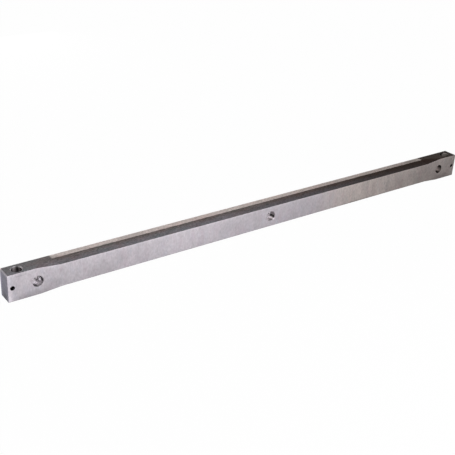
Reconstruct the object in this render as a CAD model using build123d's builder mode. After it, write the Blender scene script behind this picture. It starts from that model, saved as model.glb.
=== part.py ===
from build123d import *
import os

os.makedirs("parts", exist_ok=True)

# The blade is one steel bar. X runs along it, the front face looks to -Y and +Z is up.
# The origin is the middle of the underside. All sizes are in millimetres.

# Bar
length = 1090.0
height = 50.0
thickness = 30.0
end_chamfer = 1.5  # along the top edge of each end face
edge_break = 0.5  # around the front face

# Cutting lands, the full-height strips along the rear of the top and of the underside
land_width = 12.2

# Hollow reliefs, from the lands forward to the front face
relief_from_end = 95.0  # where a relief reaches its full depth
top_relief = 4.6  # how far the top's front edge is lowered
top_run_out = 44.0  # length of the slope back up to the full height
bottom_relief = 3.2
bottom_run_out = 38.0

# Counterbored screw holes in the front face, one near each end and one in the middle
screw_hole = 12.0
counterbore = 20.0
counterbore_depth = 12.0
screw_from_end = 52.5
mouth_chamfer = 0.3

# Bolt holes down through each end block, with chamfered rims
bolt_hole = 18.0
bolt_rim_chamfer = 1.6
bolt_from_end = 22.5

# Pin holes through the end blocks, from the front face to the rear face
pin_hole = 8.0
pin_from_end = 8.0

# Places that follow from the sizes
front = -thickness / 2
rear = thickness / 2
land_front = rear - land_width
mid_height = height / 2
working_length = length - 2 * relief_from_end
screw_pitch = (length - 2 * screw_from_end) / 2
bolt_spacing = length - 2 * bolt_from_end
pin_spacing = length - 2 * pin_from_end
cut_margin = 5.0  # how far a cut runs past the surface that it opens
same_place = 0.01  # how near two sizes are when a selector takes them for one

front_face_plane = Plane(origin=(0, front, mid_height), x_dir=(1, 0, 0), z_dir=(0, -1, 0))
top_plane = Plane.XY.offset(height)


def relief_section(section_plane, floor, crown):
    """The part of the cross-section that a hollow relief takes away, from a floor level at the
    front face up a concave arc to the crown level at the land."""
    outward = 1 if crown > floor else -1
    outside = crown + outward * (abs(crown - floor) + cut_margin)
    with BuildSketch(section_plane) as section:
        with BuildLine():
            approach = Line((front - cut_margin, floor), (front, floor))
            hollow = TangentArc(approach @ 1, (land_front, crown), tangent=approach % 1)
            Polyline(
                hollow @ 1,
                (land_front, outside),
                (front - cut_margin, outside),
                approach @ 0,
            )
        make_face()
    return section.sketch


with BuildPart() as shear_blade:
    with BuildSketch():
        Rectangle(length, thickness)
    extrude(amount=height)

    # Each relief is one long hollow with a straight run-out towards each end of the bar.
    for floor, crown, run_out in (
        (height - top_relief, height, top_run_out),
        (bottom_relief, 0.0, bottom_run_out),
    ):
        start_plane = Plane.YZ.offset(-working_length / 2)
        end_plane = Plane.YZ.offset(working_length / 2)
        extrude(relief_section(start_plane, floor, crown), amount=working_length, mode=Mode.SUBTRACT)
        rise = crown - floor
        slope = (run_out**2 + rise**2) ** 0.5
        for section_plane, away in ((start_plane, -1), (end_plane, 1)):
            extrude(
                relief_section(section_plane, floor, crown),
                amount=slope,
                dir=(away * run_out, 0, rise),
                mode=Mode.SUBTRACT,
            )

    end_faces = shear_blade.faces().filter_by(Axis.X).group_by(Axis.X)
    for end_face in (end_faces[0], end_faces[-1]):
        chamfer(end_face.edges().sort_by(Axis.Z)[-1], end_chamfer)
    fillet(shear_blade.faces().sort_by(Axis.Y)[0].edges(), edge_break)

    with Locations(front_face_plane):
        with GridLocations(screw_pitch, 0, 3, 1):
            CounterBoreHole(screw_hole / 2, counterbore / 2, counterbore_depth)
        with GridLocations(pin_spacing, 0, 2, 1):
            Hole(pin_hole / 2)
    mouths = (
        shear_blade.edges()
        .filter_by(GeomType.CIRCLE)
        .filter_by(lambda edge: abs(edge.center().Y - front) < same_place)
    )
    chamfer(mouths, mouth_chamfer)

    with Locations(top_plane):
        with GridLocations(bolt_spacing, 0, 2, 1):
            Hole(bolt_hole / 2)
    rims = (
        shear_blade.edges()
        .filter_by(GeomType.CIRCLE)
        .filter_by(lambda edge: abs(edge.radius - bolt_hole / 2) < same_place)
    )
    chamfer(rims, bolt_rim_chamfer)

shear_blade.part.label = "shear_blade"
export_step(shear_blade.part, "parts/shear_blade.step")
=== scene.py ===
"""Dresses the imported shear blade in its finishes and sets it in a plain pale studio."""

import logging
import math
from dataclasses import dataclass, replace
from enum import Enum

import bpy
from mathutils import Matrix, Vector

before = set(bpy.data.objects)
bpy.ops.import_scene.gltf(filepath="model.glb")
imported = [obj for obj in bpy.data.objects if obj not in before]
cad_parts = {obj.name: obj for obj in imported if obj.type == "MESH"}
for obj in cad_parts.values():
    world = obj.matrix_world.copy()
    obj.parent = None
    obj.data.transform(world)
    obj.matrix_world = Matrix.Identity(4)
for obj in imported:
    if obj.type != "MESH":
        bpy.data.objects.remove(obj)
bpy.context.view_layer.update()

METRE = 1000.0  # in millimetres
WHITE = (1.0, 1.0, 1.0)
HIGHLIGHT_PEAK = 4.0  # the most that a painted highlight lightens the wall under it
Socket = bpy.types.NodeSocket
Reading = Socket | float
Colour = tuple[float, float, float]
Place = tuple[float, float, float]  # along the blade, across it and up
Span = tuple[float, float]  # two readings between which something changes
HighlightsAndShade = tuple[tuple[float, float], ...]  # degrees round the axis, and the factor of painted highlight or shade there
log = logging.getLogger("shear_blade")


def paint(red: int, green: int, blue: int) -> Colour:
    """Turns a colour as a screen shows it into the linear one that a shader takes.

    Args:
        red: Red, from 0 to 255.
        green: Green, from 0 to 255.
        blue: Blue, from 0 to 255.

    Returns:
        The linear red, green and blue, from 0 to 1.
    """

    def linear(level: int) -> float:
        """One channel by the sRGB curve, whose own constants these are."""
        share = level / 255
        return share / 12.92 if share <= 0.04045 else ((share + 0.055) / 1.055) ** 2.4

    return linear(red), linear(green), linear(blue)


class Grain(Enum):
    """How a noise is made: its finer layers, how strong they are and how much it is bent."""

    MARKS = (2.0, 0.6, 0.0)
    CLOUDS = (2.0, 0.6, 0.3)
    PATCHES = (3.0, 0.6, 0.5)
    WAVER = (3.0, 0.5, 0.0)


class Lay(Enum):
    """Which way the marks of a finish run, as the factors by which they are squeezed."""

    UPRIGHT = (1.0, 1.0, 0.12)
    ALONG = (0.08, 1.0, 1.0)
    ACROSS = (1.0, 0.02, 1.0)
    NONE = (1.0, 1.0, 1.0)

    def squeezed(self, size: float, evenness: float = 1.0) -> Place:
        """The factors along each axis that give a noise its size and draw it out along the lay."""
        return tuple(share**evenness / size for share in self.value)


class Way(Enum):
    """Which way a hole goes, as the numbers of the two axes across it."""

    INWARD = (0, 2)  # in from the front
    DOWNWARD = (0, 1)  # down through the bar


class NodeSketch:
    """Adds nodes to one material's tree and joins them up."""

    def __init__(self, tree: bpy.types.NodeTree) -> None:
        """Starts a sketch on an empty tree.

        Args:
            tree: The node tree, whose own nodes are cleared away.
        """
        self.tree = tree
        tree.nodes.clear()

    def feed(self, socket: Socket, reading: Reading | Colour) -> None:
        """Gives an input a link where the reading is a socket, and a set value otherwise.

        Args:
            socket: The input.
            reading: What it is fed.
        """
        if isinstance(reading, bpy.types.NodeSocket):
            self.tree.links.new(reading, socket)
        elif socket.type == "RGBA":
            socket.default_value = (*reading, 1.0)
        else:
            socket.default_value = reading

    def node(
        self, kind: str, inputs: dict[str | int, Reading | Colour] | None = None, **settings: str | bool
    ) -> bpy.types.Node:
        """Adds one node.

        Args:
            kind: Blender's type name of the node.
            inputs: What each input is fed, by the input's name or number.
            settings: The node's own properties.

        Returns:
            The new node.
        """
        made = self.tree.nodes.new(kind)
        for name, setting in settings.items():
            setattr(made, name, setting)
        for name, reading in (inputs or {}).items():
            self.feed(made.inputs[name], reading)
        return made

    def math(self, operation: str, *readings: Reading, clamp: bool = False) -> Socket:
        """Adds a Math node.

        Args:
            operation: The node's operation, such as ADD.
            readings: One reading for each input, in order.
            clamp: True holds the result between 0 and 1.

        Returns:
            The node's result.
        """
        inputs = dict(enumerate(readings))
        return self.node("ShaderNodeMath", inputs, operation=operation, use_clamp=clamp).outputs[0]

    def vector(self, operation: str, *readings: Socket | Place) -> bpy.types.Node:
        """Adds a Vector Math node, with one reading for each input."""
        return self.node("ShaderNodeVectorMath", dict(enumerate(readings)), operation=operation)

    def all_of(self, *shares: Reading) -> Socket:
        """Multiplies several shares, so that the product is 1 only where each of them is.

        Args:
            shares: Two or more shares or factors.

        Returns:
            Their product.
        """
        product = shares[0]
        for share in shares[1:]:
            product = self.math("MULTIPLY", product, share)
        return product

    def about_one(self, noise: Socket, depth: float) -> Socket:
        """Turns a noise into a factor about 1, which it leaves by the depth either way."""
        return self.math("MULTIPLY_ADD", noise, 2 * depth, 1 - depth)

    def shifted(self, reading: Socket, noise: Socket, reach: float) -> Socket:
        """Moves a reading to and fro with a noise, by up to the reach."""
        return self.math("MULTIPLY_ADD", noise, 2 * reach, self.math("SUBTRACT", reading, reach))

    def ramp(self, reading: Reading, low: float, high: float) -> Socket:
        """Rises smoothly from 0 where the reading is low to 1 where it is high.

        Args:
            reading: What is measured.
            low: The reading that gives 0. It may be the larger of the two.
            high: The reading that gives 1.

        Returns:
            The share, from 0 to 1.
        """
        turned = low > high
        inputs = {
            "Value": reading,
            "From Min": min(low, high),
            "From Max": max(low, high),
            "To Min": 1.0 if turned else 0.0,
            "To Max": 0.0 if turned else 1.0,
        }
        node = self.node("ShaderNodeMapRange", inputs, interpolation_type="SMOOTHSTEP")
        return node.outputs["Result"]

    def run_out(self, along: Reading, start: float, length: float) -> Socket:
        """Falls straight from 1 at the start of a slope to 0 at its end.

        Args:
            along: How far along the blade the place is.
            start: Where the slope starts.
            length: How long it is.

        Returns:
            The share, from 0 to 1.
        """
        return self.math("MULTIPLY_ADD", along, -1 / length, (start + length) / length, clamp=True)

    def dial(self, turn: Socket, stops: HighlightsAndShade) -> Socket:
        """Reads a tone round a circle.

        Args:
            turn: The share of the circle, from 0 to 1.
            stops: Degrees round the circle, rising, and the factor there, up to HIGHLIGHT_PEAK.

        Returns:
            The factor.
        """
        node = self.node("ShaderNodeValToRGB", {"Fac": turn})
        node.color_ramp.interpolation = "EASE"
        elements = node.color_ramp.elements
        elements.remove(elements[1])
        for index, (degrees, factor) in enumerate((*stops, (360.0, stops[0][1]))):
            stop = elements[0] if index == 0 else elements.new(degrees / 360)
            stop.position = degrees / 360
            stop.color = (*(factor / HIGHLIGHT_PEAK,) * 3, 1.0)
        return self.math("MULTIPLY", node.outputs["Color"], HIGHLIGHT_PEAK)

    def noise(self, place: Socket, factors: Place, grain: Grain) -> Socket:
        """Cloudy noise.

        Args:
            place: The place that it is read at.
            factors: What the place is multiplied by along each axis first. At 1 the clouds are
                about one unit across.
            grain: How the noise is made.

        Returns:
            The noise, from 0 to 1.
        """
        detail, roughness, bend = grain.value
        inputs = {
            "Vector": self.vector("MULTIPLY", place, factors).outputs[0],
            "Scale": 1.0,
            "Detail": detail,
            "Roughness": roughness,
            "Distortion": bend,
        }
        return self.node("ShaderNodeTexNoise", inputs).outputs["Fac"]

    def mix(self, share: Reading, first: Reading, second: Reading) -> Socket:
        """Goes from the first number to the second as the share goes from 0 to 1."""
        inputs = {0: share, 2: first, 3: second}
        return self.node("ShaderNodeMix", inputs, data_type="FLOAT").outputs[0]

    def blend(self, share: Reading, first: Socket | Colour, second: Socket | Colour) -> Socket:
        """Goes from the first colour to the second as the share goes from 0 to 1."""
        inputs = {0: share, 6: first, 7: second}
        return self.node("ShaderNodeMix", inputs, data_type="RGBA").outputs[2]

    def tinted(self, colour: Socket, factor: Reading | Colour) -> Socket:
        """Multiplies a colour by another one, or by the same number in each channel.

        Args:
            colour: The colour underneath.
            factor: A colour, a number, or a socket of either.

        Returns:
            The product.
        """
        second = (factor,) * 3 if isinstance(factor, float) else factor
        inputs = {0: 1.0, 6: colour, 7: second}
        node = self.node("ShaderNodeMix", inputs, data_type="RGBA", blend_type="MULTIPLY")
        return node.outputs[2]


@dataclass(frozen=True)
class Spot:
    """A place on the blade's surface, as the material's nodes read it."""

    place: Socket  # in millimetres
    axes: tuple[Socket, ...]  # the same along each axis
    along: Socket  # millimetres from the blade's middle
    facing: tuple[Socket, ...]  # how squarely the face looks along each axis, from 0 to 1

    @classmethod
    def read(cls, sketch: NodeSketch) -> "Spot":
        """Adds the nodes that read the place and the way that its face looks.

        Args:
            sketch: The material's sketch.

        Returns:
            The place.
        """
        coordinates = sketch.node("ShaderNodeTexCoord").outputs
        place = sketch.vector("MULTIPLY", coordinates["Object"], (METRE,) * 3).outputs[0]
        axes = tuple(sketch.node("ShaderNodeSeparateXYZ", {0: place}).outputs)
        normal = sketch.node("ShaderNodeSeparateXYZ", {0: coordinates["Normal"]}).outputs
        facing = tuple(sketch.math("ABSOLUTE", share) for share in normal)
        return cls(place, axes, sketch.math("ABSOLUTE", axes[0]), facing)


@dataclass(frozen=True)
class Look:
    """What a finish gives the shader at each point."""

    colour: Socket
    roughness: Socket
    metallic: Reading
    height: Socket


@dataclass(frozen=True)
class Mottle:
    """One layer of cloudy light and dark on a finish."""

    size: float  # millimetres across a cloud
    depth: float  # how far it takes the tone up and down


@dataclass(frozen=True)
class SteelFinish:
    """Worked steel with fine marks that run one way, mottled tone, stains and a cool bloom."""

    near: Colour  # the tone towards the blade's left end
    far: Colour  # the tone towards its right end
    stain: Colour  # a warmer tint in patches
    bloom: Colour  # a cooler tint in patches
    lay: Lay
    metallic: float
    roughness: float
    turn: Span = (-250.0, 520.0)  # where along the blade the near tone starts and ends giving way
    mark_pitch: float = 0.5  # millimetres between the finest marks
    mark_depth: float = 0.12
    mottles: tuple[Mottle, ...] = (Mottle(3.0, 0.3), Mottle(11.0, 0.15), Mottle(55.0, 0.12))
    stain_size: float = 16.0
    stain_share: float = 0.4
    bloom_size: float = 12.0
    bloom_share: float = 0.4
    patch_edge: Span = (0.46, 0.68)  # the noise at which a stain or bloom starts and is full
    cloud_evenness: float = 0.35  # how much of the lay the clouds and patches follow
    cloud_relief: float = 0.3  # how high the clouds stand beside the marks
    roughness_spread: float = 0.2  # how far the marks take the roughness, from least to most
    far_mottling: float = 1.4  # how much stronger the mottling is in the far tone

    def look(self, sketch: NodeSketch, spot: Spot) -> Look:
        """Builds the finish's nodes.

        Args:
            sketch: The material's sketch.
            spot: The place on the blade.

        Returns:
            The finish's look.
        """
        marks = sketch.noise(spot.place, self.lay.squeezed(self.mark_pitch), Grain.MARKS)
        shade = sketch.about_one(marks, self.mark_depth)
        relief = marks
        for mottle in self.mottles:
            factors = self.lay.squeezed(mottle.size, self.cloud_evenness)
            clouds = sketch.noise(spot.place, factors, Grain.CLOUDS)
            shade = sketch.math("MULTIPLY", shade, sketch.about_one(clouds, mottle.depth))
            relief = sketch.math("MULTIPLY_ADD", clouds, self.cloud_relief, relief)
        turned = sketch.ramp(spot.axes[0], *self.turn)
        strength = sketch.mix(turned, 1.0, self.far_mottling)
        shade = sketch.math("MULTIPLY_ADD", sketch.math("SUBTRACT", shade, 1.0), strength, 1.0)
        tone = self.patched(sketch, spot, sketch.tinted(sketch.blend(turned, self.near, self.far), shade))
        smoothest = self.roughness - self.roughness_spread / 2
        roughness = sketch.math("MULTIPLY_ADD", marks, self.roughness_spread, smoothest, clamp=True)
        return Look(tone, roughness, self.metallic, relief)

    def patched(self, sketch: NodeSketch, spot: Spot, tone: Socket) -> Socket:
        """Lays the warm stains and the cool bloom over the tone.

        Args:
            sketch: The material's sketch.
            spot: The place on the blade.
            tone: The tone underneath.

        Returns:
            The tone with its patches.
        """
        for tint, size, strength in (
            (self.stain, self.stain_size, self.stain_share),
            (self.bloom, self.bloom_size, self.bloom_share),
        ):
            patches = sketch.noise(spot.place, self.lay.squeezed(size, self.cloud_evenness), Grain.PATCHES)
            share = sketch.math("MULTIPLY", sketch.ramp(patches, *self.patch_edge), strength)
            tone = sketch.blend(share, tone, sketch.tinted(tone, tint))
        return tone


@dataclass(frozen=True)
class Fade:
    """A tone that comes in as a reading nears an edge."""

    start: float  # the reading where it starts
    whole: float  # the reading where it is whole
    factor: float  # what the tone is multiplied by there

    def shade(self, sketch: NodeSketch, reading: Reading) -> Socket:
        """The factor at each reading, which is 1 before the start."""
        return sketch.mix(sketch.ramp(reading, self.start, self.whole), 1.0, self.factor)


@dataclass(frozen=True)
class Smudge:
    """A soft patch that makes the tone lighter or darker, in millimetres."""

    place: Place
    reach: Place  # how far it reaches along each axis
    factor: float  # what the tone is multiplied by at its middle
    core: float = 0.2  # the share of its reach over which it is whole

    def shade(self, sketch: NodeSketch, spot: Spot) -> Socket:
        """Works out how the patch changes the tone.

        Args:
            sketch: The material's sketch.
            spot: The place on the blade.

        Returns:
            The factor, which is 1 out of the patch's reach.
        """
        offset = sketch.vector("SUBTRACT", spot.place, self.place).outputs[0]
        spread = sketch.vector("MULTIPLY", offset, tuple(1 / reach for reach in self.reach)).outputs[0]
        distance = sketch.vector("LENGTH", spread).outputs["Value"]
        return Fade(1.0, self.core, self.factor).shade(sketch, distance)


@dataclass(frozen=True)
class Bore:
    """A round hole's wall, with painted highlights and shade in streaks down it."""

    centre: Place  # of its mouth
    way: Way
    radius: float  # of its mouth, with a little to spare, so that its whole wall is inside
    streaks: HighlightsAndShade = ((0.0, 1.0),)  # painted highlights and shade on the wall
    # painted highlights and shade on the chamfered rim
    rim_highlights_and_shade: HighlightsAndShade = ((0.0, 1.0),)
    softness: float = 0.05  # how far its edge fades either way

    def offsets(self, sketch: NodeSketch, spot: Spot) -> tuple[Socket, Socket]:
        """How far a place is from the hole's axis, along the two axes across it."""
        return tuple(sketch.math("SUBTRACT", spot.axes[i], self.centre[i]) for i in self.way.value)

    def inside(self, sketch: NodeSketch, spot: Spot) -> Socket:
        """Finds the places that lie within the hole's mouth.

        Args:
            sketch: The material's sketch.
            spot: The place on the blade.

        Returns:
            1 inside the hole and 0 outside.
        """
        first, second = self.offsets(sketch, spot)
        squares = sketch.math("MULTIPLY_ADD", first, first, sketch.math("MULTIPLY", second, second))
        distance = sketch.math("SQRT", squares)
        return sketch.ramp(distance, self.radius + self.softness, self.radius - self.softness)

    def shade(self, sketch: NodeSketch, spot: Spot, streaks: HighlightsAndShade) -> Socket:
        """Works out how the painted highlights and shade change the tone.

        Args:
            sketch: The material's sketch.
            spot: The place on the blade.
            streaks: The wall's painted highlights and shade, or the rim's.

        Returns:
            The factor, which is 1 outside the hole.
        """
        first, second = self.offsets(sketch, spot)
        angle = sketch.math("ARCTAN2", second, first)
        turn = sketch.math("FRACT", sketch.math("MULTIPLY_ADD", angle, 0.5 / math.pi, 1.0))
        return sketch.mix(self.inside(sketch, spot), 1.0, sketch.dial(turn, streaks))


@dataclass(frozen=True)
class BoreSet:
    """Alike holes that lie apart, each with its own painted highlights and shade."""

    bores: tuple[Bore, ...]

    def walls(self, sketch: NodeSketch, spot: Spot, wall: Socket) -> Socket:
        """Finds the holes' walls.

        Args:
            sketch: The material's sketch.
            spot: The place on the blade.
            wall: The share of it that looks the way that such a wall does.

        Returns:
            1 on the walls and 0 elsewhere.
        """
        mouths = self.bores[0].inside(sketch, spot)
        for bore in self.bores[1:]:
            mouths = sketch.math("MAXIMUM", mouths, bore.inside(sketch, spot))
        return sketch.math("MULTIPLY", mouths, wall)

    def highlighted_and_shaded(self, sketch: NodeSketch, spot: Spot) -> Socket:
        """The factor of the painted highlights and shade on the holes' walls."""
        return sketch.all_of(*(bore.shade(sketch, spot, bore.streaks) for bore in self.bores))

    def rim_highlighted_and_shaded(self, sketch: NodeSketch, spot: Spot) -> Socket:
        """The factor of the painted highlights and shade on the holes' rims."""
        return sketch.all_of(*(bore.shade(sketch, spot, bore.rim_highlights_and_shade) for bore in self.bores))


@dataclass(frozen=True)
class Zone:
    """A part of the bar's surface with a finish of its own."""

    share: Reading  # 1 where the finish lies and 0 elsewhere
    finish: SteelFinish
    shade: Reading = 1.0  # what the finish's tone is multiplied by

    def look(self, sketch: NodeSketch, spot: Spot) -> Look:
        """The finish's look, with the zone's shade on it."""
        look = self.finish.look(sketch, spot)
        return replace(look, colour=sketch.tinted(look.colour, self.shade))

    def over(self, sketch: NodeSketch, spot: Spot, under: Look) -> Look:
        """Lays the zone over what is there already.

        Args:
            sketch: The material's sketch.
            spot: The place on the blade.
            under: The look underneath.

        Returns:
            The look with the zone laid over it.
        """
        look = self.look(sketch, spot)
        return Look(
            sketch.blend(self.share, under.colour, look.colour),
            sketch.mix(self.share, under.roughness, look.roughness),
            sketch.mix(self.share, under.metallic, look.metallic),
            sketch.mix(self.share, under.height, look.height),
        )


@dataclass
class ShearBlade:
    """The blade's one bar: where each finish lies on it, in millimetres."""

    half_length: float = 545.0
    half_thickness: float = 15.0
    height: float = 50.0
    relief_end: float = 450.0  # how far from the middle both reliefs start to run out
    top_relief: float = 4.6
    top_run_out: float = 44.0
    bottom_relief: float = 3.2
    bottom_run_out: float = 38.0
    bore_depth: float = 12.0
    floor_step: float = 0.3  # behind a counterbore's floor, until its plain hole has its own tone
    land_front: Span = (2.3, 3.2)  # across the top, where the land starts and is whole
    land_left: Span = (-460.0, -456.0)
    land_right: Span = (451.0, 447.0)
    land_waver: Place = (0.08, 0.3, 0.3)  # how closely its edges waver along each axis
    front_waver: float = 0.6  # how far its front edge wavers either way
    side_waver: float = 1.5
    end_margin: Span = (0.3, 0.1)  # short of the end, where its finish starts and is whole
    flat_facing: Span = (0.75, 0.9)  # how squarely a flat face looks along its axis
    wall_facing: Span = (0.5, 0.3)  # how little a hole's wall looks along the hole
    rim_facing: Span = (0.95, 0.9)  # how little a chamfered rim does
    ground: SteelFinish = SteelFinish(
        near=paint(185, 179, 185),
        far=paint(202, 191, 187),
        stain=paint(250, 236, 242),
        bloom=paint(242, 248, 253),
        lay=Lay.UPRIGHT,
        metallic=0.1,
        roughness=0.5,
        turn=(85.0, 230.0),
    )
    relieved: SteelFinish = SteelFinish(
        near=paint(113, 109, 114),
        far=paint(42, 29, 22),
        stain=paint(255, 235, 230),
        bloom=paint(226, 246, 243),
        lay=Lay.ALONG,
        metallic=0.0,
        roughness=0.6,
        turn=(-220.0, 530.0),
        mottles=(Mottle(1.6, 1.0), Mottle(4.0, 0.25), Mottle(11.0, 0.2), Mottle(55.0, 0.1)),
        stain_share=0.6,
        bloom_share=0.6,
    )
    land: SteelFinish = SteelFinish(
        near=paint(206, 193, 189),
        far=paint(204, 191, 185),
        stain=paint(250, 232, 230),
        bloom=paint(238, 247, 240),
        lay=Lay.ALONG,
        metallic=0.1,
        roughness=0.6,
        mottles=(Mottle(1.6, 0.7), Mottle(4.0, 0.25), Mottle(11.0, 0.08), Mottle(55.0, 0.1)),
    )
    cut_end: SteelFinish = SteelFinish(
        near=paint(176, 173, 186),
        far=paint(165, 161, 160),
        stain=paint(244, 238, 240),
        bloom=paint(236, 240, 255),
        lay=Lay.ACROSS,
        metallic=0.1,
        roughness=0.5,
    )
    bored: SteelFinish = SteelFinish(
        near=paint(176, 171, 175),
        far=paint(153, 142, 137),
        stain=paint(244, 236, 236),
        bloom=paint(238, 240, 252),
        lay=Lay.NONE,
        metallic=0.4,
        roughness=0.35,
        mark_pitch=1.0,
    )
    drilled: SteelFinish = SteelFinish(
        near=paint(115, 108, 110),
        far=paint(176, 166, 158),
        stain=paint(250, 232, 230),
        bloom=paint(238, 240, 252),
        lay=Lay.UPRIGHT,
        metallic=0.0,
        roughness=0.5,
        mark_pitch=1.0,
    )
    rim: SteelFinish = SteelFinish(
        near=paint(140, 136, 138),
        far=paint(110, 104, 102),
        stain=paint(244, 236, 236),
        bloom=paint(238, 240, 252),
        lay=Lay.NONE,
        metallic=0.0,
        roughness=0.6,
    )
    # painted shade: the pin holes' walls are painted near black
    pin_hole_shade: SteelFinish = SteelFinish(
        near=paint(16, 14, 16),
        far=paint(14, 12, 12),
        stain=paint(240, 230, 230),
        bloom=paint(230, 236, 250),
        lay=Lay.NONE,
        metallic=0.0,
        roughness=0.7,
    )
    root_across: Span = (-11.0, 2.0)  # where the painted shade beside the land starts and is full
    # painted shade in the crease beside the land, darker and browner
    crease_shade_tint: Colour = (0.66, 0.6, 0.53)
    far_crease_shade_tint: Colour = (0.92, 0.76, 0.62)
    root_left: float = 0.5  # how much of that painted shade is left where the relief has run out
    edge_highlight: Fade = Fade(5.0, 1.0, 1.08)  # painted highlight below the front's top edge
    foot_shade: Fade = Fade(2.5, 0.3, 0.85)  # painted shade above the front's lower edge
    front_height_shade: Span = (0.9, 1.04)  # painted shade: the front's tone at the foot and at full height, darker downwards
    end_height_shade: Span = (0.72, 1.0)  # painted shade, darker downwards, the same on the end faces
    bore_depth_shade: Span = (0.6, 1.35)  # painted shade and light: a counterbore's tone at its mouth and at its floor
    through_painted_light: float = 1.3  # painted light: how much lighter the plain hole behind it is
    bump_strength: float = 0.5
    bump_height: float = 0.00004  # metres
    specular: float = 0.08
    # painted highlights and shade round each counterbore's wall
    screw_holes: BoreSet = BoreSet(
        (
            Bore(
                (-492.5, -15, 25),
                Way.INWARD,
                10.35,
                ((4, 0.25), (23, 1.6), (234, 0.45), (254, 0.1), (282, 1.0), (330, 1.05), (348, 0.04)),
            ),
            Bore(
                (0, -15, 25),
                Way.INWARD,
                10.35,
                ((8, 0.85), (32, 2.3), (70, 1.2), (235, 1.2), (264, 1.6), (289, 0.7))
                + ((313, 2.9), (327, 0.45), (341, 0.03)),
            ),
            Bore(
                (492.5, -15, 25),
                Way.INWARD,
                10.35,
                ((0, 0.35), (15, 0.08), (35, 0.35), (70, 0.9), (230, 0.9), (262, 0.3))
                + ((290, 0.05), (322, 1.5), (350, 0.95)),
            ),
        )
    )
    # painted highlights and shade round each bolt hole's wall and rim
    bolt_holes: BoreSet = BoreSet(
        (
            Bore(
                (-522.5, 0, 50),
                Way.DOWNWARD,
                10.65,
                ((4, 0.12), (32, 0.68), (60, 0.1), (97, 1.15), (128, 0.15)),
                ((24, 1.9), (60, 0.3), (90, 1.25), (120, 0.55), (150, 1.3)),
            ),
            Bore(
                (522.5, 0, 50),
                Way.DOWNWARD,
                10.65,
                ((0, 0.38), (58, 0.64), (82, 0.01), (337, 0.24)),
                ((0, 1.6), (32, 2.9), (66, 0.4), (82, 0.05), (322, 0.2), (350, 1.2)),
            ),
        )
    )
    pin_holes: BoreSet = BoreSet(
        (
            Bore((-537, -15, 25), Way.INWARD, 4.35),
            Bore((537, -15, 25), Way.INWARD, 4.35),
        )
    )
    front_smudges: tuple[Smudge, ...] = (
        Smudge((-545, -15, 20), (11, 4, 60), 1.3),
        Smudge((-543, -15, 1), (10, 4, 14), 1.25),
        Smudge((-523, -15, 44.5), (12, 3, 1.6), 0.82),
        Smudge((-500, -15, 1), (50, 4, 13), 0.76),
        Smudge((-481, -15, 37), (2.5, 2, 2.5), 0.8),
        Smudge((-476, -15, 30), (2, 2, 3), 0.85),
        Smudge((-464, -15, 13), (26, 4, 14), 0.84),
        Smudge((-462, -15, 44), (18, 4, 12), 1.1),
        Smudge((-430, -15, 34), (20, 4, 12), 1.07),
        Smudge((-378, -15, 12), (45, 4, 28), 0.87),
        Smudge((-334, -15, 30), (26, 4, 20), 0.93),
        Smudge((-205, -15, 25), (65, 4, 40), 1.06),
        Smudge((-100, -15, 26), (40, 4, 16), 0.95),
        Smudge((75, -15, 25), (45, 4, 40), 0.94),
        Smudge((190, -15, 25), (38, 4, 40), 0.94),
        Smudge((220, -15, 3.2), (36, 4, 4), 0.62),
        Smudge((258, -15, 3.2), (80, 4, 4.5), 0.8),
        Smudge((327, -15, 25), (8, 4, 34), 0.84),
        Smudge((370, -15, 14), (34, 4, 26), 0.9),
        Smudge((450, -15, 22), (60, 4, 40), 0.89),
        Smudge((503, -15, 3), (44, 4, 14), 0.7),
        Smudge((530, -15, 25), (32, 4, 40), 0.92),
    )
    top_smudges: tuple[Smudge, ...] = (
        Smudge((-370, 3, 50), (150, 4, 4), 0.82),
        Smudge((-112, -3, 46), (20, 7, 4), 1.12),
        Smudge((10, -8, 46), (90, 9, 8), 0.87),
        Smudge((507, 0, 50), (34, 60, 8), 1.06),
        Smudge((541, 2, 50), (10, 30, 5), 0.5),
    )
    land_smudges: tuple[Smudge, ...] = (
        Smudge((-454, 6, 50), (13, 9, 5), 0.72),
        Smudge((-404, 11, 50), (24, 9, 5), 0.86),
        Smudge((-303, 10, 50), (38, 9, 5), 0.84),
        Smudge((418, 9, 50), (36, 8, 5), 0.75),
        Smudge((440, 14, 50), (18, 5, 5), 1.25),
    )
    end_smudges: tuple[Smudge, ...] = (
        Smudge((-545, -2, 3), (6, 12, 14), 0.62),
        Smudge((-545, 15, 24), (5, 7, 60), 1.9),
    )
    # painted highlights and shade in the left counterbore
    left_bore_painted_light: tuple[Smudge, ...] = (
        Smudge((-485.9, -2.6, 25.9), (2.8, 3, 4.5), 2.6),
        Smudge((-483.6, -3.4, 20.6), (2.6, 3, 5), 2.4),
        Smudge((-488.4, -0.8, 20.9), (5.5, 3.6, 5), 0.13),
        Smudge((-489.8, 4.4, 19.5), (3.2, 4, 3.2), 0.5),
        Smudge((-487.2, 4.5, 23), (4, 4, 5), 1.7),
        Smudge((-491, -4.5, 15.5), (4, 4, 3), 1.25),
        Smudge((-485.8, -4, 18.2), (3.5, 4, 3.5), 0.55),
        Smudge((-495, -3, 19), (4, 3, 6), 1.3),
    )
    # painted highlights and shade in the middle counterbore
    middle_bore_painted_light: tuple[Smudge, ...] = (
        Smudge((8.7, -3.6, 20.9), (4.6, 4, 4.2), 0.12),
        Smudge((6, -3, 26.5), (3.2, 3, 3), 2.0),
        Smudge((6.5, -4.5, 17.5), (3.5, 4, 3.5), 0.75),
        Smudge((7.4, -14.6, 17.6), (3.4, 2.5, 3.4), 1.7),
    )

    @property
    def smudges(self) -> tuple[Smudge, ...]:
        """All the soft patches, on the outside first and then the painted highlights and shade in the
        counterbores.
        """
        outside = self.front_smudges + self.top_smudges + self.land_smudges + self.end_smudges
        return outside + self.left_bore_painted_light + self.middle_bore_painted_light

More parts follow.
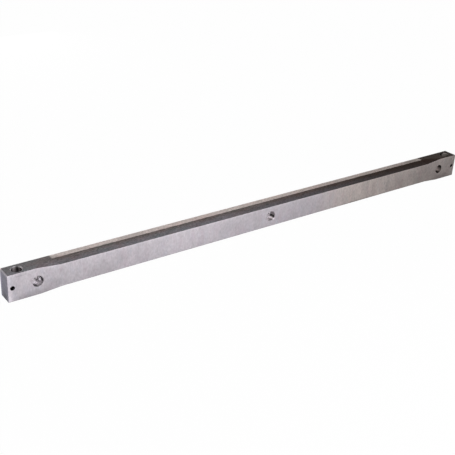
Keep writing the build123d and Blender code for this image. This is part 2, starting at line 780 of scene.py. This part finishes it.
    def front_shade(self, sketch: NodeSketch, spot: Spot) -> Socket:
        """Paints a highlight along the front's top edge, and painted shade at its foot, darker downwards.

        Args:
            sketch: The material's sketch.
            spot: The place on the blade.

        Returns:
            The factor.
        """
        z = spot.axes[2]
        lowered = sketch.run_out(spot.along, self.relief_end, self.top_run_out)
        raised = sketch.run_out(spot.along, self.relief_end, self.bottom_run_out)
        brink = sketch.math("MULTIPLY_ADD", lowered, -self.top_relief, self.height)
        # painted highlight along the top edge
        highlit = self.edge_highlight.shade(sketch, sketch.math("SUBTRACT", brink, z))
        above_foot = sketch.math("MULTIPLY_ADD", raised, -self.bottom_relief, z)
        # painted shade along the foot
        foot_shaded = self.foot_shade.shade(sketch, above_foot)
        # painted shade, darker towards the foot
        rising = sketch.mix(sketch.math("DIVIDE", z, self.height), *self.front_height_shade)
        return sketch.all_of(highlit, foot_shaded, rising)

    def root_shade(self, sketch: NodeSketch, spot: Spot, flat: Socket) -> Socket:
        """Paints shade, darker and browner, on the relieved top in the crease towards the land.

        Args:
            sketch: The material's sketch.
            spot: The place on the blade.
            flat: The share of it that looks straight up or down.

        Returns:
            The painted shade, which is white at the front edge.
        """
        lowered = sketch.run_out(spot.along, self.relief_end, self.top_run_out)
        hollow = sketch.mix(lowered, self.root_left, 1.0)
        root = sketch.all_of(flat, hollow, sketch.ramp(spot.axes[1], *self.root_across))
        turned = sketch.ramp(spot.axes[0], *self.relieved.turn)
        return sketch.blend(root, WHITE, sketch.blend(turned, self.crease_shade_tint, self.far_crease_shade_tint))

    def on_land(self, sketch: NodeSketch, spot: Spot, flat: Socket) -> Socket:
        """Finds the land, whose front and side edges waver a little.

        Args:
            sketch: The material's sketch.
            spot: The place on the blade.
            flat: The share of it that looks straight up or down.

        Returns:
            1 on the land and 0 elsewhere.
        """
        waver = sketch.noise(spot.place, self.land_waver, Grain.WAVER)
        across = sketch.shifted(spot.axes[1], waver, self.front_waver)
        along = sketch.shifted(spot.axes[0], waver, self.side_waver)
        return sketch.all_of(
            flat,
            sketch.ramp(across, *self.land_front),
            sketch.ramp(along, *self.land_left),
            sketch.ramp(along, *self.land_right),
        )

    def on_end(self, sketch: NodeSketch, spot: Spot) -> Socket:
        """Finds the end faces.

        Args:
            sketch: The material's sketch.
            spot: The place on the blade.

        Returns:
            1 on them and 0 elsewhere.
        """
        start, whole = (self.half_length - margin for margin in self.end_margin)
        facing = sketch.ramp(spot.facing[0], *self.flat_facing)
        return sketch.all_of(sketch.ramp(spot.along, start, whole), facing)

    def bore_shade(self, sketch: NodeSketch, spot: Spot) -> Socket:
        """Paints shade on the counterbores towards their mouths and light towards their floors, with
        painted highlights and shade down their walls.

        Args:
            sketch: The material's sketch.
            spot: The place on the blade.

        Returns:
            The factor.
        """
        y = spot.axes[1]
        floor = self.bore_depth - self.half_thickness
        # painted shade at the mouth, painted light towards the floor
        depth_shaded = sketch.mix(sketch.ramp(y, -self.half_thickness, floor), *self.bore_depth_shade)
        beyond = sketch.ramp(y, floor, floor + self.floor_step)
        streaks = sketch.mix(beyond, self.screw_holes.highlighted_and_shaded(sketch, spot), self.through_painted_light)
        return sketch.math("MULTIPLY", depth_shaded, streaks)

    def zones(self, sketch: NodeSketch, spot: Spot) -> tuple[Zone, ...]:
        """Says where each finish lies.

        Args:
            sketch: The material's sketch.
            spot: The place on the blade.

        Returns:
            The zones, each of which lies over those before it.
        """
        flat = sketch.ramp(spot.facing[2], *self.flat_facing)
        level_wall = sketch.ramp(spot.facing[1], *self.wall_facing)
        upright_wall = sketch.ramp(spot.facing[2], *self.wall_facing)
        chamfer = sketch.ramp(spot.facing[2], *self.rim_facing)
        # painted shade: the end faces darker towards their foot
        end_shade = sketch.mix(sketch.math("DIVIDE", spot.axes[2], self.height), *self.end_height_shade)
        counterbores = self.screw_holes.walls(sketch, spot, level_wall)
        bolt_rims = self.bolt_holes.walls(sketch, spot, chamfer)
        bolt_walls = self.bolt_holes.walls(sketch, spot, upright_wall)
        pin_walls = self.pin_holes.walls(sketch, spot, level_wall)
        return (
            Zone(1.0, self.ground, self.front_shade(sketch, spot)),
            Zone(flat, self.relieved, self.root_shade(sketch, spot, flat)),
            Zone(self.on_land(sketch, spot, flat), self.land),
            Zone(self.on_end(sketch, spot), self.cut_end, end_shade),
            # painted shade and light in the counterbores
            Zone(counterbores, self.bored, self.bore_shade(sketch, spot)),
            # painted highlights and shade on the bolt holes' rims and walls
            Zone(bolt_rims, self.rim, self.bolt_holes.rim_highlighted_and_shaded(sketch, spot)),
            Zone(bolt_walls, self.drilled, self.bolt_holes.highlighted_and_shaded(sketch, spot)),
            # the pin holes' walls get painted shade
            Zone(pin_walls, self.pin_hole_shade),
        )

    def material(self) -> bpy.types.Material:
        """Builds the bar's material, which lays each finish on its own faces.

        Returns:
            The material.
        """
        made = bpy.data.materials.new("blade_steel")
        made.use_nodes = True
        sketch = NodeSketch(made.node_tree)
        spot = Spot.read(sketch)
        ground, *others = self.zones(sketch, spot)
        look = ground.look(sketch, spot)
        for zone in others:
            look = zone.over(sketch, spot, look)
        smudged = sketch.all_of(*(smudge.shade(sketch, spot) for smudge in self.smudges))
        colour = sketch.vector("MINIMUM", sketch.tinted(look.colour, smudged), WHITE)
        bump = sketch.node(
            "ShaderNodeBump",
            {"Strength": self.bump_strength, "Distance": self.bump_height, "Height": look.height},
        )
        shader = sketch.node(
            "ShaderNodeBsdfPrincipled",
            {
                "Base Color": colour.outputs[0],
                "Roughness": look.roughness,
                "Metallic": look.metallic,
                "Normal": bump.outputs[0],
                "Specular IOR Level": self.specular,
            },
        )
        sketch.node("ShaderNodeOutputMaterial", {"Surface": shader.outputs[0]})
        return made

    def dress(self, node: bpy.types.Object) -> None:
        """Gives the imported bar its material, on the object alone."""
        node.material_slots[0].link = "OBJECT"
        node.material_slots[0].material = self.material()


@dataclass(frozen=True)
class Softbox:
    """One square soft lamp, in metres."""

    name: str
    place: Place
    aim: Place
    width: float
    watts: float

    def hang(self) -> None:
        """Adds the lamp, turned to what it lights."""
        lamp = bpy.data.lights.new(self.name, "AREA")
        lamp.shape = "SQUARE"
        lamp.size = self.width
        lamp.energy = self.watts
        holder = bpy.data.objects.new(self.name, lamp)
        holder.location = self.place
        direction = Vector(self.aim) - Vector(self.place)
        holder.rotation_euler = direction.to_track_quat("-Z", "Y").to_euler()
        bpy.context.scene.collection.objects.link(holder)


@dataclass
class Studio:
    """The pale floor, the white surroundings and the soft lamps."""

    floor_width: float = 40.0
    floor_tone: float = 0.3  # of the floor that the lamps light
    whiteness: float = 0.99  # the share of plain white that the camera sees of the floor
    ambient: float = 0.05  # how much the surroundings light the blade
    lamps: tuple[Softbox, ...] = (
        Softbox("main", (-0.78, -1.05, 0.95), (1.03, 0.0, 0.03), 0.3, 15.3),
        Softbox("low", (0.01, -0.69, 0.35), (-1.19, 0.0, 0.03), 0.3, 4.9),
        Softbox("side", (-1.05, -0.3, 0.3), (-0.5, 0.0, 0.03), 0.3, 0.7),
        Softbox("rear", (0.0, 1.6, 0.12), (0.0, 0.0, 0.03), 0.6, 18.0),
        Softbox("right end", (1.35, 0.12, 0.06), (0.5, 0.0, 0.03), 0.12, 2.6),
    )

    def seen(self, sketch: NodeSketch) -> Socket:
        """Finds the rays that meet plain white: the camera's, and those of gloss and clear glass.

        Args:
            sketch: The sketch of the floor's material or of the surroundings.

        Returns:
            1 for those rays and 0 for the others.
        """
        path = sketch.node("ShaderNodeLightPath").outputs
        seen = path["Is Camera Ray"]
        for name in ("Is Glossy Ray", "Is Transmission Ray"):
            seen = sketch.math("MAXIMUM", seen, path[name])
        return seen

    def lay_floor(self) -> None:
        """Lays the floor, which keeps the blade's shadow."""
        bpy.ops.mesh.primitive_plane_add(size=self.floor_width, location=(0, 0, 0))
        floor = bpy.context.object
        floor.name = "floor"
        made = bpy.data.materials.new("pale_floor")
        made.use_nodes = True
        sketch = NodeSketch(made.node_tree)
        matt = sketch.node("ShaderNodeBsdfDiffuse", {"Color": (self.floor_tone,) * 3})
        white = sketch.node("ShaderNodeEmission", {"Color": WHITE, "Strength": 1.0})
        share = sketch.math("MULTIPLY", self.seen(sketch), self.whiteness)
        both = sketch.node("ShaderNodeMixShader", {0: share, 1: matt.outputs[0], 2: white.outputs[0]})
        sketch.node("ShaderNodeOutputMaterial", {"Surface": both.outputs[0]})
        floor.data.materials.append(made)

    def light(self) -> None:
        """Sets the white surroundings and hangs the lamps."""
        world = bpy.data.worlds.new("studio")
        world.use_nodes = True
        sketch = NodeSketch(world.node_tree)
        strength = sketch.mix(self.seen(sketch), self.ambient, 1.0)
        around = sketch.node("ShaderNodeBackground", {"Color": WHITE, "Strength": strength})
        sketch.node("ShaderNodeOutputWorld", {"Surface": around.outputs[0]})
        bpy.context.scene.world = world
        for lamp in self.lamps:
            lamp.hang()


@dataclass(frozen=True)
class PhotoCamera:
    """The camera at the photograph's viewing angle, in metres, and its lens in millimetres."""

    place: Place = (-0.96224, -1.13901, 0.73406)
    right: Place = (0.8094, -0.5851, 0.05)
    up: Place = (0.2264, 0.3894, 0.8928)
    lens: float = 65.68
    sensor: float = 36.0
    nearest: float = 0.05
    farthest: float = 60.0

    def stand(self) -> None:
        """Adds the camera and makes it the scene's own."""
        camera = bpy.data.cameras.new("photo_camera")
        camera.lens = self.lens
        camera.sensor_width = self.sensor
        camera.clip_start = self.nearest
        camera.clip_end = self.farthest
        holder = bpy.data.objects.new("photo_camera", camera)
        right = Vector(self.right).normalized()
        back = right.cross(Vector(self.up)).normalized()
        up = back.cross(right)
        turn = Matrix((right, up, back)).transposed().to_4x4()
        holder.matrix_world = Matrix.Translation(self.place) @ turn
        bpy.context.scene.collection.objects.link(holder)
        bpy.context.scene.camera = holder


def main() -> None:
    """Dresses the blade, lights it and sets the camera."""
    logging.basicConfig(level=logging.INFO, format="%(name)s: %(message)s")
    bpy.ops.object.select_all(action="DESELECT")
    bpy.context.scene.view_settings.view_transform = "Standard"
    ShearBlade().dress(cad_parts["shear_blade"])
    log.info("shear_blade dressed")
    studio = Studio()
    studio.lay_floor()
    studio.light()
    log.info("studio lit")
    PhotoCamera().stand()
    log.info("camera set")


if __name__ == "__main__":
    main()
